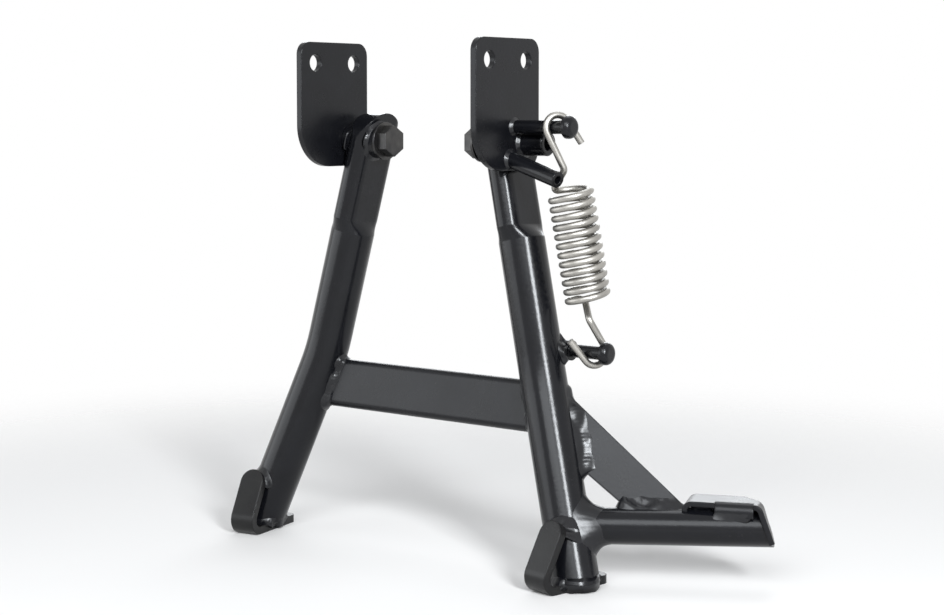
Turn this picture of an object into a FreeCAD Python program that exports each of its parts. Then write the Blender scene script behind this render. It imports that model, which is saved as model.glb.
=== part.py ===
import FreeCAD, Part
import math
import os

from FreeCAD import Vector

# Centre stand, in millimetres. The origin is the middle of the pivot axis.
# X points to the left of the machine, Y to the rear and Z up. A height is taken from the ground.

# Pivot
ground_drop = 254.5
running_gap = 0.3
fit_gap = 0.05
pivot_shank_dia = 12.0
thread_dia = 8.0
bush_dia = 16.0
sleeve_dia = 22.0
sleeve_length = 26.0
sleeve_outer_x = 66.2
washer_dia = 24.0
washer_thick = 1.6
bolt_head_width = 17.0
bolt_head_height = 7.0
thread_reach = 11.0

# Frame brackets
plate_thick = 4.0
plate_front_y = -47.5
plate_rear_y = 14.0
plate_bottom_z = -16.0
plate_top_z = 62.0
plate_nose_radius = 26.0
plate_heel_radius = 14.0
plate_corner_radius = 8.0
frame_hole_dia = 10.5
frame_hole_inset = 13.0
boss_dia = 15.0
boss_length = 17.5
edge_break = 0.8

# Legs
leg_dia = 28.0
leg_wall = 2.5
leg_top_x = 53.7
leg_axis_y = 4.3
knee_x = 86.5
knee_y = -3.5
knee_z = -137.0
knee_radius = 150.0
foot_x = 125.5
foot_y = -25.0
flat_thick = 16.0
flat_end_z = -50.0
shoulder_length = 8.0
shoulder_split = 40.0

# Cross brace
brace_tall = 31.0
brace_depth = 13.0
brace_wall = 2.0
brace_corner = 4.0
brace_height = 98.5

# Feet
foot_thick = 5.0
foot_width = 16.5
foot_turn = 11.0
foot_inset = 3.5
foot_tab_height = 39.5
foot_tab_bite = 1.0
foot_nose_reach = 31.5
foot_tail_reach = 23.5
foot_nose_radius = 7.0
foot_tab_radius = 8.0
foot_tail_radius = 5.0

# Foot lever
lever_dia = 21.3
lever_wall = 2.5
lever_height = 34.2
lever_length = 115.0
lever_heading = 31.5
lever_rise = 1.0
end_lean = 20.0

# Gusset between leg and lever
gusset_thick = 4.0
gusset_height = 121.0
gusset_end_gap = 48.5
gusset_notch_height = 20.0
gusset_notch_reach = 34.0
gusset_toe_radius = 3.0
gusset_toe_height = 2.5

# Tread plate on the lever
tread_thick = 3.0
tread_length = 38.5
tread_width = 22.0
tread_lift = 2.0
tread_fold_short = 4.0
tread_turn = 9.0
tread_corner = 11.0
tread_bend_radius = 4.0
tread_flange_length = 22.0
tread_flange_end_gap = 3.2
tread_flange_foot = 7.5
lip_radius = 2.5

# Spring and its posts
post_dia = 8.0
post_head_dia = 13.5
post_head_length = 5.0
post_head_round = 3.5
collar_dia = 12.0
lower_post_y = 7.0
lower_post_z = -122.5
upper_post_offset = 14.0
lower_hook_x = 118.0
upper_hook_x = 103.0
wire_dia = 4.1
coil_outer_dia = 27.5
coil_count = 12
coil_top_gap = 37.0
coil_end_gap = 32.0
coil_turn = 112.0
hook_gap = 0.3
hook_side_gap = 1.0
hook_shift = 1.6
hook_skew = 30.0
hook_neck = 12.0
hook_lead = 5.0
hook_bend = 3.5
hook_sweep = 172.0
hook_tip = 16.0

# Hollow side peg on the left bracket
peg_dia = 9.5
peg_bore = 5.0
peg_root_y = -14.0
peg_root_z = -9.5
peg_tip_x = 108.0
peg_tip_y = -19.0
peg_tip_z = -20.5

# Stand travel
swing_degrees = 85.0

# Cutting tools reach past the stand or past a face, and points this close are the same
tool_span = 500.0
cut_past = 1.0
touch_limit = 0.01

# Values that follow from those above
base_top_z = -ground_drop + foot_thick
brace_middle_z = -ground_drop + brace_height
foot_tab_top_z = -ground_drop + foot_tab_height
lever_z = -ground_drop + lever_height
gusset_top_z = -ground_drop + gusset_height
sleeve_inner_x = sleeve_outer_x - sleeve_length
plate_inner_x = sleeve_outer_x + running_gap
plate_outer_x = plate_inner_x + plate_thick
leg_top = Vector(leg_top_x, leg_axis_y, 0)
knee = Vector(knee_x, knee_y, knee_z)
leg_base = Vector(foot_x, foot_y, base_top_z)
X_AXIS = Vector(1, 0, 0)
Y_AXIS = Vector(0, 1, 0)
Z_AXIS = Vector(0, 0, 1)


def unit(vector):
    result = Vector(vector)
    result.normalize()
    return result


upper_dir = unit(leg_top - knee)
lower_dir = unit(knee - leg_base)


def at_height(point, direction, z):
    return point + direction * ((z - point.z) / direction.z)


def cylinder(start, end, dia):
    axis = end - start
    return Part.makeCylinder(dia / 2, axis.Length, start, axis)


def pipe(start, end, dia, bore):
    return cylinder(start, end, dia).cut(cylinder(start, end, bore))


def mirrored(shape):
    return shape.mirror(Vector(0, 0, 0), X_AXIS)


def largest(shape):
    return max(shape.Solids, key=lambda solid: solid.Volume)


def block_below(z):
    corner = Vector(-tool_span, -tool_span, z - tool_span)
    return Part.makeBox(2 * tool_span, 2 * tool_span, tool_span, corner)


def block_inside(x):
    corner = Vector(x - tool_span, -tool_span, -tool_span)
    return Part.makeBox(tool_span, 2 * tool_span, 2 * tool_span, corner)


def rounded_edges(points, radii, closed):
    count = len(points)
    entries = []
    exits = []
    mids = []
    for i in range(count):
        corner = points[i]
        radius = radii[i]
        at_end = not closed and i in (0, count - 1)
        if radius <= 0 or at_end:
            entries.append(corner)
            exits.append(corner)
            mids.append(None)
            continue
        before = unit(points[i - 1] - corner)
        after = unit(points[(i + 1) % count] - corner)
        half = before.getAngle(after) / 2
        setback = radius / math.tan(half)
        centre = corner + unit(before + after) * (radius / math.sin(half))
        entries.append(corner + before * setback)
        exits.append(corner + after * setback)
        mids.append(centre + unit(corner - centre) * radius)
    edges = []
    last = count if closed else count - 1
    for i in range(count):
        if mids[i] is not None:
            edges.append(Part.Arc(entries[i], mids[i], exits[i]).toShape())
        if i < last:
            target = entries[(i + 1) % count]
            if exits[i].distanceToPoint(target) > touch_limit / 1000:
                edges.append(Part.makeLine(exits[i], target))
    return edges


def outline_solid(points, radii, depth):
    wire = Part.Wire(rounded_edges(points, radii, True))
    return Part.Face(wire).extrude(depth)


def bent_strip(points, radii, normal, thick, depth):
    # A flat strip bent along a line of corners, with true inner and outer radii.
    sides = []
    for sign in (1, -1):
        shifted = []
        changed = []
        for i in range(len(points)):
            if i == 0:
                along = unit(points[1] - points[0])
                side = along.cross(normal)
                shifted.append(points[i] + side * (sign * thick / 2))
                changed.append(0)
                continue
            if i == len(points) - 1:
                along = unit(points[i] - points[i - 1])
                side = along.cross(normal)
                shifted.append(points[i] + side * (sign * thick / 2))
                changed.append(0)
                continue
            before = unit(points[i] - points[i - 1])
            after = unit(points[i + 1] - points[i])
            side = unit(before.cross(normal) + after.cross(normal))
            stretch = 1 / math.cos(before.getAngle(after) / 2)
            shifted.append(points[i] + side * (sign * stretch * thick / 2))
            turn = before.cross(after).dot(normal)
            outside = turn * sign > 0
            changed.append(radii[i] + (thick / 2 if outside else -thick / 2))
        sides.append(rounded_edges(shifted, changed, False))
        sides.append(shifted)
    start_cap = Part.makeLine(sides[1][0], sides[3][0])
    end_cap = Part.makeLine(sides[1][-1], sides[3][-1])
    edges = sides[0] + [end_cap] + sides[2] + [start_cap]
    wire = Part.Wire(Part.__sortEdges__(edges))
    return Part.Face(wire).extrude(depth)


def ringed(shape, x):
    # The whole circles that lie in one plane across X.
    rings = [edge for edge in shape.Edges if len(edge.Vertexes) == 1]
    return [edge for edge in rings if abs(edge.CenterOfMass.x - x) < touch_limit]


def fillet_at(shape, places, radius):
    chosen = []
    for place in places:
        vertex = Part.Vertex(place)
        chosen.append(min(shape.Edges, key=lambda edge: edge.distToShape(vertex)[0]))
    return shape.makeFillet(radius, chosen)


# Legs

def leg_frame(z):
    origin = at_height(leg_top, upper_dir, z)
    across = unit(Y_AXIS - upper_dir * Y_AXIS.dot(upper_dir))
    normal = across.cross(upper_dir)
    return origin, normal, across


def flat_wire(z, inset):
    # The pressed end keeps the girth of the round tube.
    origin, normal, across = leg_frame(z)
    half = flat_thick / 2 - inset
    run = math.pi * (leg_dia - flat_thick) / 4
    a = origin + normal * half + across * run
    b = origin + normal * half - across * run
    c = origin - normal * half - across * run
    d = origin - normal * half + across * run
    return Part.Wire([
        Part.makeLine(a, b),
        Part.Arc(b, origin - across * (run + half), c).toShape(),
        Part.makeLine(c, d),
        Part.Arc(d, origin + across * (run + half), a).toShape(),
    ])


def round_wire(z, inset):
    origin, normal, across = leg_frame(z)
    radius = leg_dia / 2 - inset
    split = math.radians(shoulder_split)
    reach = across * (radius * math.sin(split))
    rise = normal * (radius * math.cos(split))
    a = origin + rise + reach
    b = origin + rise - reach
    c = origin - rise - reach
    d = origin - rise + reach
    return Part.Wire([
        Part.Arc(a, origin + normal * radius, b).toShape(),
        Part.Arc(b, origin - across * radius, c).toShape(),
        Part.Arc(c, origin - normal * radius, d).toShape(),
        Part.Arc(d, origin + across * radius, a).toShape(),
    ])


def leg_body(inset):
    round_top_z = flat_end_z - shoulder_length
    start = at_height(leg_top, upper_dir, round_top_z)
    tip = leg_base - lower_dir * leg_dia
    path = Part.Wire(rounded_edges([start, knee, tip], [0, knee_radius, 0], False))
    ring = Part.Wire([Part.makeCircle(leg_dia / 2 - inset, start, start - knee)])
    tube = path.makePipeShell([ring], True, True)
    tube = tube.cut(block_below(base_top_z))
    shoulder = Part.makeLoft([round_wire(round_top_z, inset), flat_wire(flat_end_z, inset)], True, True)
    flat = Part.Face(flat_wire(flat_end_z, inset)).extrude(upper_dir * (leg_dia - flat_end_z))
    return tube.fuse([shoulder, flat]).removeSplitter()


def leg_end_cut(inset):
    # The flat top ends in a closed half round.
    half = flat_thick / 2 + math.pi * (leg_dia - flat_thick) / 4 - inset
    start = Vector(leg_top_x - leg_dia, leg_axis_y, 0)
    head = Part.makeCylinder(half, 2 * leg_dia, start, X_AXIS)
    return head.fuse(block_below(0))


leg_envelope = leg_body(0).common(leg_end_cut(0))
leg_hollow = leg_body(leg_wall).common(leg_end_cut(leg_wall))
sleeve_start = Vector(sleeve_inner_x, 0, 0)
sleeve_end = Vector(sleeve_outer_x, 0, 0)
sleeve_solid = cylinder(sleeve_start, sleeve_end, sleeve_dia)
leg_left = largest(leg_envelope.cut(leg_hollow).cut(sleeve_solid))
leg_right = mirrored(leg_left)

# Pivot sleeves, bushes, bolts and washers

sleeve_left = pipe(sleeve_start, sleeve_end, sleeve_dia, bush_dia)
bush_bore = pivot_shank_dia + 2 * fit_gap
bush_left = pipe(sleeve_start, sleeve_end, bush_dia, bush_bore)
washer_outer_x = sleeve_inner_x - running_gap
washer_inner_x = washer_outer_x - washer_thick
washer_left = pipe(
    Vector(washer_inner_x, 0, 0),
    Vector(washer_outer_x, 0, 0),
    washer_dia,
    pivot_shank_dia + 2 * running_gap,
)


def hexagon(x, width, height):
    corner = width / math.sqrt(3)
    points = []
    for i in range(6):
        angle = math.radians(60 * i + 30)
        points.append(Vector(x, corner * math.cos(angle), corner * math.sin(angle)))
    points.append(points[0])
    return Part.Face(Part.makePolygon(points)).extrude(Vector(height, 0, 0))


def pivot_bolt():
    head = hexagon(washer_inner_x - bolt_head_height, bolt_head_width, bolt_head_height)
    shank_start = Vector(washer_inner_x, 0, 0)
    shank_end = Vector(plate_inner_x, 0, 0)
    thread_end = Vector(plate_outer_x + thread_reach, 0, 0)
    shank = cylinder(shank_start, shank_end, pivot_shank_dia)
    thread = cylinder(shank_end, thread_end, thread_dia)
    thread = thread.makeChamfer(edge_break, ringed(thread, thread_end.x))
    return head.fuse([shank, thread]).removeSplitter()


bolt_left = pivot_bolt()

# Frame brackets

upper_post_angle = math.atan2(lower_post_z, lower_post_y) + math.radians(swing_degrees / 2) + math.pi
upper_post_y = upper_post_offset * math.cos(upper_post_angle)
upper_post_z = upper_post_offset * math.sin(upper_post_angle)
thread_bore = thread_dia + 2 * fit_gap


def bracket_plate():
    x = plate_inner_x
    corners = [
        Vector(x, plate_front_y, plate_top_z),
        Vector(x, plate_front_y, plate_bottom_z),
        Vector(x, plate_rear_y, plate_bottom_z),
        Vector(x, plate_rear_y, plate_top_z),
    ]
    radii = [plate_corner_radius, plate_nose_radius, plate_heel_radius, plate_corner_radius]
    plate = outline_solid(corners, radii, X_AXIS * plate_thick)
    holes = [(0, 0, thread_bore)]
    for y in (plate_front_y + frame_hole_inset, plate_rear_y - frame_hole_inset):
        holes.append((y, plate_top_z - frame_hole_inset, frame_hole_dia))
    for y, z, dia in holes:
        start = Vector(x - cut_past, y, z)
        plate = plate.cut(Part.makeCylinder(dia / 2, plate_thick + 2 * cut_past, start, X_AXIS))
    return plate


bracket_left = bracket_plate()


boss_start = Vector(plate_outer_x, 0, 0)
boss_end = Vector(plate_outer_x + boss_length, 0, 0)
boss_left = pipe(boss_start, boss_end, boss_dia, thread_bore)
boss_left = boss_left.makeChamfer(edge_break, ringed(boss_left, boss_end.x))


def headed_post(x, length, y, z):
    root = Vector(x, y, z)
    neck = root + X_AXIS * length
    stem = cylinder(root, neck, post_dia)
    head = cylinder(neck, neck + X_AXIS * post_head_length, post_head_dia)
    head = head.makeFillet(post_head_round, ringed(head, neck.x + post_head_length))
    return stem.fuse(head).removeSplitter()


skew = math.radians(hook_skew)
hook_radius = post_dia / 2 + hook_gap + wire_dia / 2
hook_loop = hook_radius / math.cos(skew)
hook_space = hook_loop * math.sin(skew) + wire_dia / 2 + hook_side_gap - hook_shift
upper_post = headed_post(
    plate_outer_x,
    upper_hook_x + hook_space - plate_outer_x,
    upper_post_y,
    upper_post_z,
)


def side_peg():
    root = Vector(plate_outer_x, peg_root_y, peg_root_z)
    tip = Vector(peg_tip_x, peg_tip_y, peg_tip_z)
    along = unit(tip - root)
    start = root - along * peg_dia
    peg = pipe(start, tip, peg_dia, peg_bore)
    return largest(peg.cut(block_inside(plate_outer_x)))


peg = side_peg()

# Cross brace

lean = math.atan2(lower_dir.y, lower_dir.z)


def brace_section(inset, half_length):
    up = Vector(0, math.sin(lean), math.cos(lean))
    back = Vector(0, math.cos(lean), -math.sin(lean))
    middle = at_height(knee, lower_dir, brace_middle_z)
    base = Vector(-half_length, middle.y, middle.z) + back * (brace_depth / 2)
    half_up = up * (brace_tall / 2 - inset)
    half_back = back * (brace_depth / 2 - inset)
    corners = [
        base + half_up - half_back,
        base - half_up - half_back,
        base - half_up + half_back,
        base + half_up + half_back,
    ]
    radii = [brace_corner - inset] * 4
    return outline_solid(corners, radii, X_AXIS * (2 * half_length))


def between_legs():
    upper = at_height(knee, lower_dir, 0)
    lower = at_height(knee, lower_dir, base_top_z)
    corners = []
    for point, side in ((upper, 1), (lower, 1), (lower, -1), (upper, -1)):
        corners.append(Vector(side * point.x, -ground_drop, point.z))
    return outline_solid(corners, [0, 0, 0, 0], Y_AXIS * (2 * ground_drop))


brace = brace_section(0, foot_x)
brace = brace.cut(brace_section(brace_wall, foot_x + cut_past))
brace = brace.common(between_legs())
brace = largest(brace.cut([leg_envelope, mirrored(leg_envelope)]))

# Feet


def foot_solid():
    # A bent strip under the leg, turned inwards, with its tab up the front of the tube.
    turn = math.radians(foot_turn)
    ahead = Vector(-math.sin(turn), -math.cos(turn), 0)
    across = Vector(math.cos(turn), -math.sin(turn), 0)
    middle = Vector(foot_x, foot_y, 0) - across * foot_inset
    axis = at_height(leg_base, lower_dir, foot_tab_top_z) - middle
    aside = max(0, abs(axis.dot(across)) - foot_width / 2)
    front = math.sqrt((leg_dia / 2) ** 2 - aside ** 2) / math.cos(lean)
    half = foot_thick / 2
    tab_reach = axis.dot(ahead) + front + half - foot_tab_bite
    sole_z = -ground_drop + half
    corner = middle - across * (foot_width / 2)
    path = [
        corner + ahead * tab_reach + Z_AXIS * foot_tab_top_z,
        corner + ahead * foot_nose_reach + Z_AXIS * sole_z,
        corner - ahead * foot_tail_reach + Z_AXIS * sole_z,
    ]
    radii = [0, foot_nose_radius, 0]
    width = across * foot_width
    strip = bent_strip(path, radii, across, foot_thick, width)
    strip = fillet_at(strip, [path[0], path[0] + width], foot_tab_radius)
    strip = fillet_at(strip, [path[-1], path[-1] + width], foot_tail_radius)
    return largest(strip.cut(leg_envelope))


foot_left = foot_solid()
foot_right = mirrored(foot_left)

# Foot lever, gusset and tread plate

lever_start = at_height(leg_base, lower_dir, lever_z)
heading = math.radians(lever_heading)
lever_dir = Vector(math.cos(heading), math.sin(heading), 0)
lever_side = Vector(-math.sin(heading), math.cos(heading), 0)
lever_tip = lever_start + lever_dir * lever_length + Z_AXIS * lever_rise
lever_axis = unit(lever_tip - lever_start)
lever_up = lever_side.cross(lever_axis) * -1
tread_heading = heading - math.radians(tread_turn)


def lever_point(along, up, side=0):
    return lever_start + lever_axis * along + lever_up * up + lever_side * side


def end_blocker():
    # The outer end is cut square to the tread plate and leans out towards the ground.
    along = Vector(math.cos(tread_heading), math.sin(tread_heading), 0)
    across = Vector(-math.sin(tread_heading), math.cos(tread_heading), 0)
    slope = math.tan(math.radians(end_lean))
    deep = 3 * lever_dia
    end = lever_point(lever_length, 0) - across * deep
    corners = [
        end + along * (-deep * slope) + Z_AXIS * deep,
        end + along * (deep * slope) - Z_AXIS * deep,
        end + along * (4 * deep) - Z_AXIS * deep,
        end + along * (4 * deep) + Z_AXIS * deep,
    ]
    return outline_solid(corners, [0, 0, 0, 0], across * (2 * deep))


lever_outer = cylinder(lever_start, lever_point(lever_length + lever_dia, 0), lever_dia)
lever_outer = lever_outer.cut(end_blocker())
lever_inner = cylinder(lever_start, lever_point(lever_length + lever_dia, 0), lever_dia - 2 * lever_wall)
lever = largest(lever_outer.cut(lever_inner).cut(leg_envelope))


def gusset_solid():
    # The plate lies in the plane of the leg axis and the lever axis.
    side = unit(lever_axis.cross(lower_dir))
    top = at_height(leg_base, lower_dir, gusset_top_z)
    notch_z = lever_z + lever_dia / 2 + gusset_notch_height
    notch = at_height(leg_base, lower_dir, notch_z)
    up = unit(side.cross(lever_axis)) * -1
    if up.z < 0:
        up = up * -1
    crown = up * (lever_dia / 2)
    toe = lever_start + lever_axis * (lever_length - gusset_end_gap)
    heel = lever_start + lever_axis * gusset_notch_reach
    corners = [
        top,
        toe + crown + up * gusset_toe_height,
        toe,
        heel,
        heel + crown,
        notch + lever_axis * (leg_dia / 2),
        notch,
    ]
    radii = [0, gusset_toe_radius, 0, 0, 0, 0, 0]
    corners = [corner - side * (gusset_thick / 2) for corner in corners]
    plate = outline_solid(corners, radii, side * gusset_thick)
    return largest(plate.cut([leg_envelope, lever_outer]))


gusset = gusset_solid()


def tread_solid():
    # Flat top, rolled inner lip, a flange down to the tube and an outer end folded over it.
    half = tread_thick / 2
    along = Vector(math.cos(tread_heading), math.sin(tread_heading), 0)
    across = Vector(-math.sin(tread_heading), math.cos(tread_heading), 0)
    slope = math.tan(math.radians(end_lean))
    level = lever_dia / 2 + tread_lift + half
    corner = lever_point(lever_length - level * slope, level)
    corner = corner + along * (half / math.cos(math.radians(end_lean)))
    drop = level + lever_dia / 2 - tread_fold_short
    fold = corner + along * (drop * slope) - Z_AXIS * drop
    inner = corner - along * tread_length
    start = across * (-tread_width / 2)
    path = [inner + start, corner + start, fold + start]
    plate = bent_strip(path, [0, tread_bend_radius, 0], across, tread_thick, across * tread_width)

    roll = half + lip_radius
    lip_axis = inner + start - Z_AXIS * roll
    lip = Part.makeCylinder(roll + half, tread_width, lip_axis, across)
    lip = lip.cut(Part.makeCylinder(roll - half, tread_width, lip_axis, across))
    keep = Part.makeBox(3 * roll, tread_width, 3 * roll)
    keep.rotate(Vector(0, 0, 0), Z_AXIS, math.degrees(tread_heading))
    keep.translate(lip_axis - along * (3 * roll) - Z_AXIS * (roll / 2))
    plate = plate.fuse(lip.common(keep))

    near = corner - along * (tread_flange_end_gap + tread_flange_length)
    edge = near + start + across * half
    bend_room = half + tread_bend_radius
    square = Part.makeBox(tread_flange_length, bend_room, tread_thick)
    square.rotate(Vector(0, 0, 0), Z_AXIS, math.degrees(tread_heading))
    square.translate(near + start - Z_AXIS * half)
    path = [near, edge, edge - Z_AXIS * (level - tread_flange_foot)]
    radii = [0, tread_bend_radius, 0]
    flange = bent_strip(path, radii, along, tread_thick, along * tread_flange_length)
    plate = plate.cut(square).fuse(flange).removeSplitter()

    tip = corner + across * (tread_width / 2) + along * lever_dia
    wedge = [
        tip - along * (lever_dia + tread_corner),
        tip - across * (tread_corner + lever_dia),
        tip + along * lever_dia,
    ]
    wedge = [point - Z_AXIS * (2 * lever_dia) for point in wedge]
    plate = plate.cut(outline_solid(wedge, [0, 0, 0], Z_AXIS * (4 * lever_dia)))
    return largest(plate.cut(lever_outer))


tread = tread_solid()

# Lower spring post

lower_post_root = Vector(knee_x, lower_post_y, lower_post_z)
lower_post = headed_post(
    knee_x,
    lower_hook_x + hook_space - knee_x,
    lower_post_y,
    lower_post_z,
)
collar = cylinder(lower_post_root, lower_post_root + X_AXIS * (leg_dia / 2), collar_dia)
lower_post = largest(lower_post.fuse(collar).removeSplitter().cut(leg_envelope))

# Spring


def wire_run(edges, start, along):
    ring = Part.Wire([Part.makeCircle(wire_dia / 2, start, along)])
    return Part.Wire(edges).makePipeShell([ring], True, False)


def hook(post, gap, to_coil, across, coil_end, leaving):
    # The wire leaves the coil, bends onto the spring's axis, rounds the post and runs out straight.
    reach = gap - hook_neck
    neck = post + to_coil * reach
    first = math.acos(hook_loop / reach)
    half_sweep = math.radians(hook_sweep / 2)
    last = first + 2 * half_sweep

    def on_loop(angle):
        return post + (to_coil * math.cos(angle) + across * math.sin(angle)) * hook_loop

    touch = on_loop(first)
    corner = coil_end + leaving * hook_lead
    edges = rounded_edges([coil_end, corner, neck, touch], [0, hook_bend, hook_bend, 0], False)
    edges.append(Part.Arc(touch, on_loop(first + half_sweep), on_loop(last)).toShape())
    onward = across * math.cos(last) - to_coil * math.sin(last)
    edges.append(Part.makeLine(on_loop(last), on_loop(last) + onward * hook_tip))
    return wire_run(edges, coil_end, leaving)


def spring_solid():
    upper = Vector(upper_hook_x, upper_post_y, upper_post_z)
    lower = Vector(lower_hook_x, lower_post_y, lower_post_z)
    axis = unit(lower - upper)
    length = (lower - upper).Length
    coil_length = length - coil_top_gap - coil_end_gap
    radius = (coil_outer_dia - wire_dia) / 2
    pitch = coil_length / coil_count
    turn = math.radians(coil_turn)
    outward = Vector(math.cos(turn), math.sin(turn), 0)
    sideways = Vector(-math.sin(turn), math.cos(turn), 0)
    along = unit(sideways * radius + Z_AXIS * (pitch / (2 * math.pi)))
    helix = Part.makeHelix(pitch, coil_length, radius)
    helix.rotate(Vector(0, 0, 0), Z_AXIS, coil_turn)
    ring = Part.Wire([Part.makeCircle(wire_dia / 2, outward * radius, along)])
    coil = Part.Wire(helix.Edges).makePipeShell([ring], True, True)
    across = Vector(math.cos(skew), math.sin(skew), 0)
    # Both hooks stand aside from the axis of the coil, towards the leg.
    aside = Y_AXIS * hook_shift
    high = hook(
        aside - Z_AXIS * coil_top_gap,
        coil_top_gap,
        Z_AXIS,
        across,
        outward * radius,
        along * -1,
    )
    low = hook(
        aside + Z_AXIS * (coil_length + coil_end_gap),
        coil_end_gap,
        Z_AXIS * -1,
        across * -1,
        outward * radius + Z_AXIS * coil_length,
        along,
    )
    body = coil.fuse([low, high])
    front = unit(axis.cross(X_AXIS))
    rotation = FreeCAD.Rotation(front, axis.cross(front), axis, "ZXY")
    body.Placement = FreeCAD.Placement(upper + axis * coil_top_gap, rotation)
    return body


spring = spring_solid()

# Files

nodes = {
    "bracket_left": bracket_left,
    "bracket_right": mirrored(bracket_left),
    "pivot_boss_left": boss_left,
    "pivot_boss_right": mirrored(boss_left),
    "pivot_bolt_left": bolt_left,
    "pivot_bolt_right": mirrored(bolt_left),
    "pivot_washer_left": washer_left,
    "pivot_washer_right": mirrored(washer_left),
    "pivot_bush_left": bush_left,
    "pivot_bush_right": mirrored(bush_left),
    "pivot_sleeve_left": sleeve_left,
    "pivot_sleeve_right": mirrored(sleeve_left),
    "spring_post_upper": upper_post,
    "side_peg": peg,
    "leg_left": leg_left,
    "leg_right": leg_right,
    "cross_brace": brace,
    "foot_left": foot_left,
    "foot_right": foot_right,
    "lever_tube": lever,
    "lever_gusset": gusset,
    "tread_plate": tread,
    "spring_post_lower": lower_post,
    "return_spring": spring,
}

os.makedirs("parts", exist_ok=True)
for name, shape in nodes.items():
    shape.exportStep("parts/" + name + ".step")
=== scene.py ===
import math
import random

import bmesh
import bpy
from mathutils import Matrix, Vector
from mathutils.bvhtree import BVHTree
from mathutils.noise import noise as noise_at


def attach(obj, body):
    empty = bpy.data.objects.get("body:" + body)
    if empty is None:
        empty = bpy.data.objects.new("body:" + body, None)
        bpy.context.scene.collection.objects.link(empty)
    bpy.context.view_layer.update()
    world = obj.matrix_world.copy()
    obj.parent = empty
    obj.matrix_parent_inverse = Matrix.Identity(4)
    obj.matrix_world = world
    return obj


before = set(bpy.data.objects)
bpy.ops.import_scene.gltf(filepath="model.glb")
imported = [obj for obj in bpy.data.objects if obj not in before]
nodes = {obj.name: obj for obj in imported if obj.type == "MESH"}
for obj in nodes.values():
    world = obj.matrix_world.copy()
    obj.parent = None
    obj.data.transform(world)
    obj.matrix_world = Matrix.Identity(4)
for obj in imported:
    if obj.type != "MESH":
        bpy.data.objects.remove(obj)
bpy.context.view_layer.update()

scene = bpy.context.scene
random.seed(7)

X = Vector((1, 0, 0))
Y = Vector((0, 1, 0))
Z = Vector((0, 0, 1))
MM = 0.001

# Sizes repeated from the solids, in metres
LEG_R = 14.0 * MM
LEG_TOP = Vector((53.7, 4.3, 0.0)) * MM
KNEE = Vector((86.5, -3.5, -137.0)) * MM
LEG_BASE = Vector((125.5, -25.0, -249.5)) * MM
FLAT_HALF = 8.0 * MM
SLEEVE_R = 11.0 * MM
PLATE_OUT = 70.5 * MM
BOSS_R = 7.5 * MM
POST_R = 4.0 * MM
COLLAR_R = 6.0 * MM
GROUND_Z = -254.5 * MM
BRACE_Z = -156.0 * MM
BRACE_H = 31.0 * MM
BRACE_D = 13.0 * MM
BRACE_CORNER = 4.0 * MM
LEVER_R = 10.65 * MM
LEVER_Z = -220.3 * MM
LEVER_LENGTH = 115.0 * MM
LEVER_RISE = 1.0 * MM
LEVER_HEADING = math.radians(31.5)
GUSSET_HALF = 2.0 * MM
GUSSET_TOP_Z = -133.5 * MM
GUSSET_REACH = 66.5 * MM
GUSSET_NOTCH_RISE = 20.0 * MM
GUSSET_NOTCH_REACH = 34.0 * MM
GUSSET_TOE = 2.5 * MM
TREAD_THICK = 3.0 * MM
TREAD_WIDTH = 22.0 * MM
TREAD_LENGTH = 38.5 * MM
TREAD_LIFT = 2.0 * MM
TREAD_TURN = math.radians(9.0)
END_LEAN = math.radians(20.0)
FLANGE_LENGTH = 22.0 * MM
FLANGE_GAP = 3.2 * MM
FLANGE_FOOT = 7.5 * MM
FOOT_WIDTH = 16.5 * MM
FOOT_INSET = 3.5 * MM
FOOT_TURN = math.radians(11.0)
FOOT_TAB_Z = -215.0 * MM
LOWER_POST_Y, LOWER_POST_Z = 7.0 * MM, -122.5 * MM
UPPER_POST_Y, UPPER_POST_Z = -10.03 * MM, 9.77 * MM
PEG_ROOT = Vector((70.5, -14.0, -9.5)) * MM
PEG_TIP = Vector((108.0, -19.0, -20.5)) * MM
PEG_R = 4.75 * MM


def at_height(point, direction, z):
    return point + direction * ((z - point.z) / direction.z)


def square_to(vector, axis):
    """The part of a vector that is square to an axis."""
    return vector - axis * vector.dot(axis)


# Directions and places worked out from the sizes
UPPER = (LEG_TOP - KNEE).normalized()
LOWER = (KNEE - LEG_BASE).normalized()
FLAT_NORMAL = square_to(X, UPPER).normalized()
LEVER_START = at_height(LEG_BASE, LOWER, LEVER_Z)
LEVER = Vector((math.cos(LEVER_HEADING), math.sin(LEVER_HEADING), LEVER_RISE / LEVER_LENGTH)).normalized()
GUSSET_SIDE = LEVER.cross(LOWER).normalized()
GUSSET_UP = GUSSET_SIDE.cross(LEVER).normalized()
AHEAD = Vector((-math.sin(FOOT_TURN), -math.cos(FOOT_TURN), 0))
ACROSS = Vector((math.cos(FOOT_TURN), -math.sin(FOOT_TURN), 0))
FOOT_MID = Vector((LEG_BASE.x, LEG_BASE.y, 0)) - ACROSS * FOOT_INSET

# Materials
PAINT = ((0.0032, 0.0034, 0.0045), (0.0055, 0.0058, 0.0075))
SOLE = ((0.0035, 0.0035, 0.0042), (0.009, 0.0088, 0.0085))
SPRING_STEEL = ((0.30, 0.29, 0.27), (0.43, 0.415, 0.385))
BLACK_OXIDE = ((0.04, 0.04, 0.043), (0.09, 0.088, 0.085))
BRONZE = ((0.36, 0.24, 0.11), (0.50, 0.36, 0.19))
DUST_COLOUR = (0.16, 0.15, 0.14, 1)
PEEL_HEIGHT = 0.25 * MM
GRAIN_HEIGHT = 0.2 * MM


def material(name):
    mat = bpy.data.materials.new(name)
    mat.use_nodes = True
    tree = mat.node_tree
    tree.nodes.clear()
    out = tree.nodes.new("ShaderNodeOutputMaterial")
    shader = tree.nodes.new("ShaderNodeBsdfPrincipled")
    tree.links.new(shader.outputs[0], out.inputs[0])
    return mat, tree, shader


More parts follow.
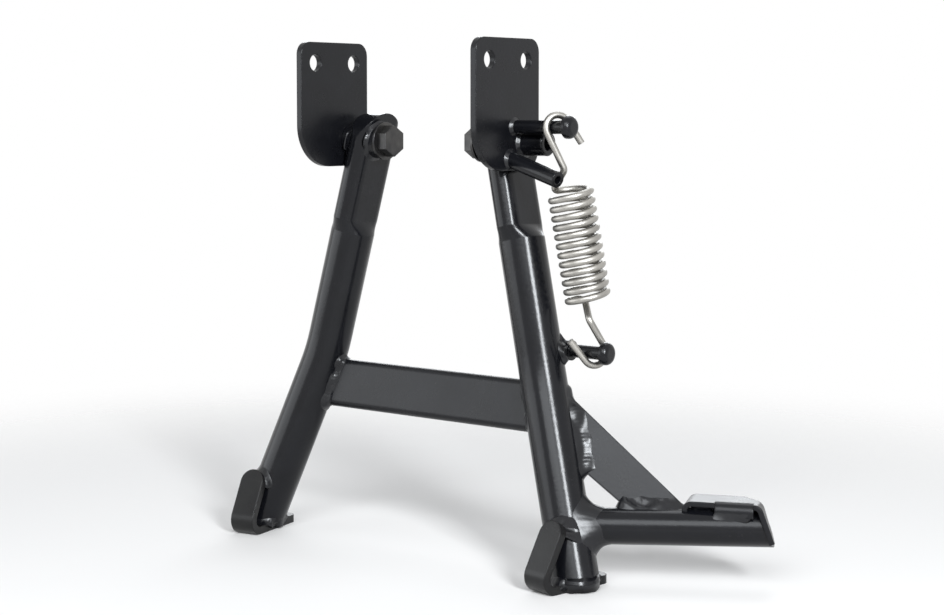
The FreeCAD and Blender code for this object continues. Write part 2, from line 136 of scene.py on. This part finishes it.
def noise(tree, scale, detail, rough):
    coords = tree.nodes.new("ShaderNodeTexCoord")
    node = tree.nodes.new("ShaderNodeTexNoise")
    node.inputs["Scale"].default_value = scale
    node.inputs["Detail"].default_value = detail
    node.inputs["Roughness"].default_value = rough
    tree.links.new(coords.outputs["Object"], node.inputs["Vector"])
    return node.outputs["Fac"]


def between(tree, value, low, high, start=0.3, end=0.7):
    """A value spread from low to high, which are two colours or two plain numbers."""
    node = tree.nodes.new("ShaderNodeValToRGB")
    for element, place, shade in zip(node.color_ramp.elements, (start, end), (low, high)):
        element.position = place
        element.color = (shade, shade, shade, 1) if isinstance(shade, float) else (*shade, 1)
    tree.links.new(value, node.inputs[0])
    return node.outputs[0]


def bumped(tree, shader, height, strength, distance, bevel):
    """A fine relief from a height value, over edges that a bevel rounds."""
    bump = tree.nodes.new("ShaderNodeBump")
    bump.inputs["Strength"].default_value = strength
    bump.inputs["Distance"].default_value = distance
    tree.links.new(height, bump.inputs["Height"])
    if bevel:
        edge = tree.nodes.new("ShaderNodeBevel")
        edge.samples = 4
        edge.inputs["Radius"].default_value = bevel
        tree.links.new(edge.outputs[0], bump.inputs["Normal"])
    tree.links.new(bump.outputs[0], shader.inputs["Normal"])


def dusted(tree, tone, dust):
    """The tone with pale flecks, which gather in some areas."""
    flecks = between(tree, noise(tree, scale=900.0, detail=2.0, rough=0.6), 0.0, 1.0, start=0.66, end=0.74)
    areas = between(tree, noise(tree, scale=38.0, detail=3.0, rough=0.5), 0.0, dust, start=0.45, end=0.75)
    both = tree.nodes.new("ShaderNodeMath")
    both.operation = "MULTIPLY"
    tree.links.new(flecks, both.inputs[0])
    tree.links.new(areas, both.inputs[1])
    mix = tree.nodes.new("ShaderNodeMix")
    mix.data_type = "RGBA"
    mix.inputs["B"].default_value = DUST_COLOUR
    tree.links.new(both.outputs[0], mix.inputs["Factor"])
    tree.links.new(tone, mix.inputs["A"])
    return mix.outputs["Result"]


def enamel(name, tones, rough, dust, bevel=0.0, gloss=0.28):
    """Black paint with a slight orange peel: tones and rough are each a low and a high end."""
    mat, tree, shader = material(name)
    tone = between(tree, noise(tree, scale=55.0, detail=5.0, rough=0.6), *tones)
    tree.links.new(dusted(tree, tone, dust), shader.inputs["Base Color"])
    haze = between(tree, noise(tree, scale=30.0, detail=4.0, rough=0.6), *rough)
    tree.links.new(haze, shader.inputs["Roughness"])
    shader.inputs["Specular IOR Level"].default_value = gloss
    peel = noise(tree, scale=520.0, detail=2.0, rough=0.4)
    bumped(tree, shader, peel, strength=0.18, distance=PEEL_HEIGHT, bevel=bevel)
    return mat


def metal(name, tones, rough, bevel=0.0, grain=900.0):
    """Bare or oxidised metal: tones and rough are each a low and a high end."""
    mat, tree, shader = material(name)
    tone = between(tree, noise(tree, scale=70.0, detail=5.0, rough=0.6), *tones)
    haze = between(tree, noise(tree, scale=45.0, detail=4.0, rough=0.6), *rough)
    tree.links.new(tone, shader.inputs["Base Color"])
    tree.links.new(haze, shader.inputs["Roughness"])
    shader.inputs["Metallic"].default_value = 1.0
    grains = noise(tree, scale=grain, detail=3.0, rough=0.5)
    bumped(tree, shader, grains, strength=0.15, distance=GRAIN_HEIGHT, bevel=bevel)
    return mat


paint = enamel("gloss_black_enamel", PAINT, (0.18, 0.23), dust=0.2, bevel=0.9 * MM)
plate_paint = enamel("gloss_black_enamel_plate", PAINT, (0.25, 0.32), dust=0.3, bevel=1.3 * MM)
sole_paint = enamel("gloss_black_enamel_sole", SOLE, (0.26, 0.42), dust=0.8, bevel=1.2 * MM)
weld_paint = enamel("gloss_black_enamel_weld", PAINT, (0.25, 0.34), dust=0.1, gloss=0.42)
spring_metal = metal("spring_wire_metal", SPRING_STEEL, (0.34, 0.48), grain=600.0)
bolt_metal = metal("black_oxide_metal", BLACK_OXIDE, (0.3, 0.45), bevel=0.6 * MM)
bronze_metal = metal("bronze_metal", BRONZE, (0.25, 0.4), bevel=0.4 * MM)

looks = {
    "return_spring": spring_metal,
    "lever_gusset": plate_paint,
    "cross_brace": plate_paint,
    "tread_plate": plate_paint,
}
for hand in ("left", "right"):
    looks["pivot_bolt_" + hand] = bolt_metal
    looks["pivot_washer_" + hand] = bolt_metal
    looks["pivot_bush_" + hand] = bronze_metal
    looks["foot_" + hand] = sole_paint
    looks["bracket_" + hand] = plate_paint
for name, node in nodes.items():
    node.data.materials.clear()
    node.data.materials.append(looks.get(name, paint))


# How every weld is laid: its steps, the points over it, its hidden root, its ripples, waves and ends
STEP = 0.6 * MM
LEAST_STEPS = 8
OVER_COUNT = 13
SINK = 0.06 * MM
UNDER = 0.5 * MM
TOE_REACH = 2.5 * MM
LUMP_SIZE = 8.0 * MM
RIPPLE = 0.04 * MM
RIPPLE_STEP = 2.4 * MM
RIPPLE_BOW = 0.5
WAVE_STEP = 14.0 * MM
FAST_WAVES = 1.7
FAST_SHARE = 0.7
CROWN_SHARE = 0.5
LUMP_SPREAD = 3
END_HEIGHT = 0.08
TINY = 1e-9

surfaces = {}


def surface_of(name):
    mesh = nodes[name].data
    faces = [list(face.vertices) for face in mesh.polygons]
    return BVHTree.FromPolygons([vertex.co.copy() for vertex in mesh.vertices], faces)


def nearest(name, point):
    """The nearest place on a solid."""
    if name not in surfaces:
        surfaces[name] = surface_of(name)
    return surfaces[name].find_nearest(point)[0]


def toe_on(name, point):
    """The nearest place on a solid, or the point itself where the solid is out of reach."""
    found = nearest(name, point)
    return found if (found - point).length < TOE_REACH else point


def spaced(stations, closed):
    """The same run of stations, a step apart: each is a place on the joint and two directions."""
    run = list(stations)
    if closed:
        run.append(run[0])
    lengths = [0.0]
    for one, two in zip(run, run[1:]):
        lengths.append(lengths[-1] + (two[0] - one[0]).length)
    total = lengths[-1]
    count = max(LEAST_STEPS, round(total / STEP))
    fresh = []
    at = 0
    for i in range(count + 1):
        along = total * i / count
        while at < len(lengths) - 2 and lengths[at + 1] < along:
            at += 1
        share = (along - lengths[at]) / max(lengths[at + 1] - lengths[at], TINY)
        place, up, away = [one.lerp(two, share) for one, two in zip(run[at], run[at + 1])]
        fresh.append((place, up.normalized(), away.normalized()))
    return fresh[:-1] if closed else fresh


def skin(name, rings, closed):
    """A smooth mesh over rings of points, sharp along both toes of the weld."""
    mesh = bmesh.new()
    loops = [[mesh.verts.new(point) for point in ring] for ring in rings]
    sides = len(loops[0])
    for i in range(len(loops) if closed else len(loops) - 1):
        one, two = loops[i], loops[(i + 1) % len(loops)]
        for k in range(sides):
            mesh.faces.new((one[k], one[(k + 1) % sides], two[(k + 1) % sides], two[k]))
        for k in (0, OVER_COUNT - 1):
            mesh.edges.get((one[k], two[k])).smooth = False
    if not closed:
        mesh.faces.new(list(reversed(loops[0])))
        mesh.faces.new(loops[-1])
    bmesh.ops.recalc_face_normals(mesh, faces=mesh.faces)
    data = bpy.data.meshes.new(name)
    mesh.to_mesh(data)
    mesh.free()
    for face in data.polygons:
        face.use_smooth = True
    return data


def linked(name, data):
    piece = bpy.data.objects.new(name, data)
    scene.collection.objects.link(piece)
    return piece


def weld(name, body, stem, base, stations, size, closed=True,
         crown=0.42, lump=0.12, wave_step=WAVE_STEP, relief=0.12, rise=1.0):
    """A fillet weld of uneven, rippled section between a stem and the surface it stands on.

    In each station the first direction runs up the stem and the second away over the base.
    """
    run = spaced(stations, closed)
    total = STEP * len(run)
    slow = max(1, round(total / wave_step))
    fast = max(2, round(total / wave_step * FAST_WAVES))
    phases = [random.random() * 2 * math.pi for _ in range(6)]
    shift = Vector(phases[:3]) * LUMP_SPREAD
    rings = []

    def wave(i, k):
        turn = 2 * math.pi * i / len(run)
        waves = math.sin(slow * turn + phases[k]) + FAST_SHARE * math.sin(fast * turn + phases[k + 1])
        return waves / (1 + FAST_SHARE)

    for i, (place, up, away) in enumerate(run):
        up_leg = size * rise * (1 + lump * wave(i, 0))
        away_leg = size * (1 + lump * wave(i, 2))
        if not closed:
            from_end = min(i, len(run) - 1 - i) * STEP / size
            taper = math.sqrt(max(END_HEIGHT, 1 - max(0.0, 1 - from_end) ** 2))
            up_leg *= taper
            away_leg *= taper
        high = nearest(stem, place + up * up_leg) - away * SINK
        low = toe_on(base, place + away * away_leg) - up * SINK
        middle = place + (up * up_leg + away * away_leg) * (crown + lump * CROWN_SHARE * wave(i, 4))
        ring = []
        for k in range(OVER_COUNT):
            t = k / (OVER_COUNT - 1)
            point = high * (1 - t) ** 2 + middle * (2 * t * (1 - t)) + low * t ** 2
            beat = math.sin(2 * math.pi * (STEP * i / RIPPLE_STEP + RIPPLE_BOW * (2 * t - 1) ** 2))
            swell = size * relief * noise_at(point / LUMP_SIZE + shift) + RIPPLE * beat
            ring.append(point + (up + away) * (swell * 4 * t * (1 - t)))
        ring += [low - up * UNDER, place - (up + away) * UNDER, high - away * UNDER]
        rings.append(ring)
    piece = linked(name, skin(name, rings, closed))
    piece.data.materials.append(weld_paint)
    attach(piece, body)


# How far out a line starts that is sent at a tube from outside
OUTSIDE = 200.0 * MM


def hit_tube(point, direction, base, axis, radius, far):
    """Where a line meets the round of a tube, on its far or its near side."""
    across = square_to(direction, axis)
    offset = square_to(point - base, axis)
    a, b, c = across.dot(across), 2 * across.dot(offset), offset.dot(offset) - radius ** 2
    root = max(b * b - 4 * a * c, 0.0) ** 0.5
    t = (-b + root) / (2 * a) if far else (-b - root) / (2 * a)
    return point + direction * t


def hit_leg(point, direction, far=True):
    return hit_tube(point, direction, LEG_BASE, LOWER, LEG_R, far)


def outward(point, base, axis):
    return square_to(point - base, axis).normalized()


def over_leg(direction, place):
    """A direction laid along the surface of the leg's lower part."""
    return square_to(direction, outward(place, LEG_BASE, LOWER)).normalized()


def flip(stations):
    """Stations of the left side, mirrored for the right one."""
    return [tuple(Vector((-p.x, p.y, p.z)) for p in station) for station in stations]


def spokes(first, second, count):
    """Directions evenly spaced round a circle, from the first towards the second."""
    for i in range(count):
        angle = 2 * math.pi * i / count
        yield first * math.cos(angle) + second * math.sin(angle)


# Brace ends: the rounded section carried along X to the legs
CORNER_STEPS = 6


def brace_ring():
    lean = math.atan2(LOWER.y, LOWER.z)
    up = Vector((0, math.sin(lean), math.cos(lean)))
    back = Vector((0, math.cos(lean), -math.sin(lean)))
    on_leg = at_height(KNEE, LOWER, BRACE_Z)
    middle = Vector((0, on_leg.y, on_leg.z)) + back * (BRACE_D / 2)
    tall, deep = BRACE_H / 2 - BRACE_CORNER, BRACE_D / 2 - BRACE_CORNER
    ring = []
    for upward, backward in ((1, -1), (-1, -1), (-1, 1), (1, 1)):
        centre = up * (upward * tall) + back * (backward * deep)
        first, second = up * upward, back * backward
        if upward == backward:
            first, second = second, first
        for step in range(CORNER_STEPS + 1):
            angle = math.radians(90 / CORNER_STEPS * step)
            spoke = first * math.cos(angle) + second * math.sin(angle)
            place = hit_leg(middle + centre + spoke * BRACE_CORNER, X, far=False)
            ring.append((place, -X, over_leg(spoke, place)))
    return ring


ring = brace_ring()
weld("weld_brace_left", "stand", "cross_brace", "leg_left", ring, size=4.0 * MM, relief=0.4)
weld("weld_brace_right", "stand", "cross_brace", "leg_right", flip(ring), size=4.0 * MM, relief=0.4)

# Gusset to leg and to lever, each a loop round the edge of the plate
EDGE_STEPS = 12
TOE_OVERRUN = 1.0 * MM


def plate_loop(low, high, along, seat):
    """A loop round a plate's edge: seat puts a point on the tube and gives the tube's outward there."""
    loop = []
    for start, end, side in ((low, high, 1), (high, low, -1)):
        for i in range(EDGE_STEPS + 1):
            point = start.lerp(end, i / EDGE_STEPS) + GUSSET_SIDE * (side * GUSSET_HALF)
            loop.append((point, GUSSET_SIDE * side))
        for i in range(1, EDGE_STEPS):
            angle = math.pi * i / EDGE_STEPS
            spoke = GUSSET_SIDE * math.cos(angle) + along * math.sin(angle)
            point = end + spoke * (side * GUSSET_HALF)
            loop.append((point, (point - end).normalized()))
    return [(*seat(point), away) for point, away in loop]


def seat_on_leg(point):
    place = hit_leg(point, LEVER)
    return place, outward(place, LEG_BASE, LOWER)


def seat_on_lever(point):
    place = hit_tube(point, GUSSET_UP, LEVER_START, LEVER, LEVER_R, far=True)
    return place, outward(place, LEVER_START, LEVER)


gusset_top = at_height(LEG_BASE, LOWER, GUSSET_TOP_Z)
gusset_toe = LEVER_START + LEVER * GUSSET_REACH + GUSSET_UP * (LEVER_R + GUSSET_TOE)
slope = (gusset_toe - gusset_top).normalized()
crest = gusset_top + slope * (LEG_R / square_to(slope, LOWER).length)
notch = hit_leg(at_height(LEG_BASE, LOWER, LEVER_Z + LEVER_R + GUSSET_NOTCH_RISE), LEVER)
loop = plate_loop(notch, crest, LOWER, seat_on_leg)
weld("weld_gusset_leg", "stand", "lever_gusset", "leg_left", loop, size=5.0 * MM,
     crown=0.27, wave_step=20.0 * MM, relief=0.2, rise=1.65)
heel = LEVER_START + LEVER * GUSSET_NOTCH_REACH
toe = LEVER_START + LEVER * (GUSSET_REACH + TOE_OVERRUN)
loop = plate_loop(heel, toe, LEVER, seat_on_lever)
weld("weld_gusset_lever", "stand", "lever_gusset", "lever_tube", loop, size=4.6 * MM,
     crown=0.36, wave_step=16.0 * MM, relief=0.34, rise=1.35)

# Lever to leg: a wide saddle round the lever
right = LEVER.cross(Z).normalized()
over = right.cross(LEVER).normalized()
ring = []
for spoke in spokes(right, over, count=64):
    place = hit_leg(LEVER_START + spoke * LEVER_R, LEVER)
    ring.append((place, LEVER, over_leg(spoke, place)))
weld("weld_lever_leg", "stand", "lever_tube", "leg_left", ring, size=7.0 * MM,
     crown=0.14, lump=0.10, wave_step=20.0 * MM, rise=1.45)

# Foot tab to leg: over the round top of the tab and a little way down its sides
TAB_STEPS = 18
TAB_SIDE_STEPS = 2
half = FOOT_WIDTH / 2
run = []
for i in range(-TAB_SIDE_STEPS, TAB_STEPS + TAB_SIDE_STEPS + 1):
    angle = math.pi * i / TAB_STEPS
    height = FOOT_TAB_Z - half + half * math.sin(angle)
    point = FOOT_MID + ACROSS * (half * math.cos(angle)) + AHEAD * OUTSIDE + Z * height
    place = hit_leg(point, -AHEAD, far=False)
    spoke = ACROSS * math.cos(angle) + Z * math.sin(angle)
    run.append((place, AHEAD, over_leg(spoke, place)))
weld("weld_foot_tab_left", "stand", "foot_left", "leg_left", run, size=3.0 * MM,
     closed=False, relief=0.2)
weld("weld_foot_tab_right", "stand", "foot_right", "leg_right", flip(run), size=3.0 * MM,
     closed=False, relief=0.2)

# Leg to foot pad: a ring round the tube, which hangs down where the tube stands out past the pad
HANG_START = 1.0 * MM
HANG_OVER = 3.0 * MM
HANG_INSET = 0.4 * MM
ring = []
for spoke in spokes(ACROSS, AHEAD, count=72):
    place = hit_leg(LEG_BASE, spoke)
    beside = abs((place - FOOT_MID).dot(ACROSS)) - half
    hang = min(max((beside + HANG_START) / HANG_OVER, 0.0), 1.0)
    place -= spoke * (HANG_INSET * hang)
    ring.append((place, LOWER, (spoke * (1 - hang) - Z * hang).normalized()))
weld("weld_foot_base_left", "stand", "leg_left", "foot_left", ring, size=3.6 * MM, relief=0.16)
weld("weld_foot_base_right", "stand", "leg_right", "foot_right", flip(ring), size=3.6 * MM, relief=0.16)

# Lower spring post on the leg
ring = []
leg_axis = at_height(KNEE, UPPER, LOWER_POST_Z)
for spoke in spokes(Y, Z, count=36):
    start = Vector((OUTSIDE, LOWER_POST_Y, LOWER_POST_Z)) + spoke * COLLAR_R
    place = hit_tube(start, -X, leg_axis, UPPER, LEG_R, far=False)
    ring.append((place, X, square_to(spoke, outward(place, leg_axis, UPPER)).normalized()))
weld("weld_post_lower", "stand", "spring_post_lower", "leg_left", ring, size=3.6 * MM,
     lump=0.2, wave_step=8.0 * MM, relief=0.4)

# Tread on the lever: a weld under the foot of its flange, and one in its fold behind the flange
TREAD_STEPS = 11
FLANGE_SEAT = 0.4 * MM
FOLD_ROOT = 5.0 * MM
FOLD_DROP = TREAD_THICK / 2 + TREAD_LIFT * 0.6
FOLD_START = FLANGE_GAP + FLANGE_LENGTH - 1.0 * MM
FOLD_END = TREAD_LENGTH - 0.5 * MM
tread_angle = LEVER_HEADING - TREAD_TURN
tread_along = Vector((math.cos(tread_angle), math.sin(tread_angle), 0))
tread_across = Vector((-math.sin(tread_angle), math.cos(tread_angle), 0))
level = LEVER_R + TREAD_LIFT + TREAD_THICK / 2
tread_corner = LEVER_START + LEVER * (LEVER_LENGTH - level * math.tan(END_LEAN)) + Z * level
flange = tread_corner - tread_across * (TREAD_WIDTH / 2) + Z * (FLANGE_FOOT + FLANGE_SEAT - level)
away = (-tread_across * 0.3 - Z * 0.9).normalized()
run = []
for i in range(TREAD_STEPS + 1):
    back = FLANGE_GAP + FLANGE_LENGTH * i / TREAD_STEPS
    run.append((flange - tread_along * back, Z, away))
weld("weld_tread", "stand", "tread_plate", "lever_tube", run, size=2.2 * MM,
     closed=False, wave_step=8.0 * MM)
fold = tread_corner - tread_across * FOLD_ROOT - Z * FOLD_DROP
away = (-tread_across * 0.55 - Z).normalized()
run = []
for i in range(TREAD_STEPS + 1):
    back = FOLD_START + (FOLD_END - FOLD_START) * i / TREAD_STEPS
    run.append((fold - tread_along * back, -tread_across, away))
weld("weld_tread_inner", "stand", "tread_plate", "lever_tube", run, size=4.2 * MM,
     closed=False, relief=0.3)


# Bosses, upper post and peg on the brackets
def stem_ring(root, axis, radius):
    """Stations round a stem where it meets the outer face of the left bracket."""
    first = axis.orthogonal().normalized()
    stations = []
    for spoke in spokes(first, axis.cross(first), count=36):
        place = root + spoke * radius
        place += axis * ((PLATE_OUT - place.x) / axis.x)
        stations.append((place, axis, Vector((0, spoke.y, spoke.z)).normalized()))
    return stations


ring = stem_ring(Vector((PLATE_OUT, 0, 0)), X, BOSS_R)
weld("weld_boss_left", "frame_mount", "pivot_boss_left", "bracket_left", ring, size=2.0 * MM)
weld("weld_boss_right", "frame_mount", "pivot_boss_right", "bracket_right", flip(ring), size=2.0 * MM)
ring = stem_ring(Vector((PLATE_OUT, UPPER_POST_Y, UPPER_POST_Z)), X, POST_R)
weld("weld_post_upper", "frame_mount", "spring_post_upper", "bracket_left", ring, size=1.8 * MM)
ring = stem_ring(PEG_ROOT, (PEG_TIP - PEG_ROOT).normalized(), PEG_R)
weld("weld_peg", "frame_mount", "side_peg", "bracket_left", ring, size=1.8 * MM)

# Pivot sleeves in the pressed ends of the legs, welded on both faces
for tag, sign in (("outer", 1), ("inner", -1)):
    face = LEG_TOP + FLAT_NORMAL * sign * FLAT_HALF
    ring = []
    for spoke in spokes(Y, Z, count=48):
        place = spoke * SLEEVE_R
        place += X * ((face - place).dot(FLAT_NORMAL) / X.dot(FLAT_NORMAL))
        ring.append((place, X * sign, square_to(spoke, FLAT_NORMAL).normalized()))
    weld("weld_sleeve_left_" + tag, "stand", "pivot_sleeve_left", "leg_left", ring, size=2.0 * MM)
    weld("weld_sleeve_right_" + tag, "stand", "pivot_sleeve_right", "leg_right", flip(ring), size=2.0 * MM)

# Floor: a pale disc that fades into the white around it
FLOOR_REACH = 3.0
FLOOR_COLOUR = (0.875, 0.85, 0.825, 1)
FADE_START, FADE_END = 0.30, 0.75


def floor_material():
    mat, tree, shader = material("floor_white")
    shader.inputs["Base Color"].default_value = FLOOR_COLOUR
    shader.inputs["Roughness"].default_value = 0.9
    shader.inputs["Specular IOR Level"].default_value = 0.1
    out = shader.outputs[0].links[0].to_node
    coords = tree.nodes.new("ShaderNodeTexCoord")
    level_part = tree.nodes.new("ShaderNodeVectorMath")
    level_part.operation = "MULTIPLY"
    level_part.inputs[1].default_value = (1, 1, 0)
    distance = tree.nodes.new("ShaderNodeVectorMath")
    distance.operation = "LENGTH"
    fade = tree.nodes.new("ShaderNodeMapRange")
    fade.interpolation_type = "SMOOTHSTEP"
    fade.inputs["From Min"].default_value = FADE_START
    fade.inputs["From Max"].default_value = FADE_END
    clear = tree.nodes.new("ShaderNodeBsdfTransparent")
    blend = tree.nodes.new("ShaderNodeMixShader")
    tree.links.new(coords.outputs["Object"], level_part.inputs[0])
    tree.links.new(level_part.outputs[0], distance.inputs[0])
    tree.links.new(distance.outputs["Value"], fade.inputs["Value"])
    tree.links.new(fade.outputs[0], blend.inputs[0])
    tree.links.new(shader.outputs[0], blend.inputs[1])
    tree.links.new(clear.outputs[0], blend.inputs[2])
    tree.links.new(blend.outputs[0], out.inputs[0])
    return mat


mesh = bmesh.new()
bmesh.ops.create_circle(mesh, cap_ends=True, segments=96, radius=FLOOR_REACH)
bmesh.ops.translate(mesh, verts=mesh.verts, vec=(0, 0, GROUND_Z))
data = bpy.data.meshes.new("floor")
mesh.to_mesh(data)
mesh.free()
data.materials.append(floor_material())
floor = linked("floor", data)

# World: white to the camera and in reflections, and a weak fill for the rest
FILL_COLOUR, FILL_STRENGTH = (0.93, 0.96, 1.0, 1), 0.2
WHITE = (1, 1, 1, 1)


def background(tree, colour, strength):
    node = tree.nodes.new("ShaderNodeBackground")
    node.inputs["Color"].default_value = colour
    node.inputs["Strength"].default_value = strength
    return node.outputs[0]


world = bpy.data.worlds.new("studio")
scene.world = world
world.use_nodes = True
tree = world.node_tree
tree.nodes.clear()
path = tree.nodes.new("ShaderNodeLightPath")
either = path.outputs["Is Camera Ray"]
for ray in ("Is Glossy Ray", "Is Transmission Ray"):
    most = tree.nodes.new("ShaderNodeMath")
    most.operation = "MAXIMUM"
    tree.links.new(either, most.inputs[0])
    tree.links.new(path.outputs[ray], most.inputs[1])
    either = most.outputs[0]
mix = tree.nodes.new("ShaderNodeMixShader")
tree.links.new(either, mix.inputs[0])
tree.links.new(background(tree, FILL_COLOUR, FILL_STRENGTH), mix.inputs[1])
tree.links.new(background(tree, WHITE, 1.0), mix.inputs[2])
out = tree.nodes.new("ShaderNodeOutputWorld")
tree.links.new(mix.outputs[0], out.inputs[0])

# Lamps: soft boxes round the middle of the stand, in metres and watts
LIT_PLACE = Vector((0.02, -0.01, -0.12))
LAMP_COLOUR = (0.92, 0.96, 1.0)


def softbox(name, direction, distance, width, height, power):
    light = bpy.data.lights.new(name, "AREA")
    light.shape = "RECTANGLE"
    light.size = width
    light.size_y = height
    light.energy = power
    light.color = LAMP_COLOUR
    lamp = linked(name, light)
    towards = Vector(direction).normalized()
    lamp.location = LIT_PLACE + towards * distance
    lamp.rotation_mode = "QUATERNION"
    lamp.rotation_quaternion = (-towards).to_track_quat("-Z", "Y")


softbox("strip_side", direction=(0.80, -0.46, 0.36), distance=1.6, width=0.30, height=0.6, power=27)
softbox("front_box", direction=(0.34, -0.77, 0.55), distance=1.8, width=1.2, height=0.9, power=18)
softbox("left_box", direction=(-0.74, -0.63, 0.17), distance=2.0, width=2.0, height=1.0, power=13)
softbox("back_box", direction=(-0.60, 0.75, 0.33), distance=2.2, width=2.0, height=0.7, power=18)
softbox("top_box", direction=(-0.1, 0.45, 0.9), distance=1.5, width=0.7, height=0.7, power=3.5)

# Camera: lengths of the picture in pixels, with the pixel that the lens looks straight at
FRAME_W, FRAME_H = 944.0, 615.0
FOCAL_PX = 1816.9
AXIS_X, AXIS_Y = 473.3, 227.0
SENSOR_W = 36.0
YAW, PITCH = math.radians(37.98), math.radians(-3.77)
CAMERA_PLACE = Vector((712.4, -872.1, 21.3)) * MM
camera_data = bpy.data.cameras.new("camera")
camera_data.sensor_fit = "HORIZONTAL"
camera_data.sensor_width = SENSOR_W
camera_data.lens = FOCAL_PX * SENSOR_W / FRAME_W
camera_data.shift_x = -(AXIS_X - FRAME_W / 2) / FRAME_W
camera_data.shift_y = (AXIS_Y - FRAME_H / 2) / FRAME_W
camera_data.clip_start = 0.05
camera_data.clip_end = 50
camera = linked("camera", camera_data)
scene.camera = camera
look = Vector((-math.sin(YAW) * math.cos(PITCH), math.cos(YAW) * math.cos(PITCH), math.sin(PITCH)))
camera.location = CAMERA_PLACE
camera.rotation_mode = "QUATERNION"
camera.rotation_quaternion = look.to_track_quat("-Z", "Y")

scene.view_settings.view_transform = "Standard"
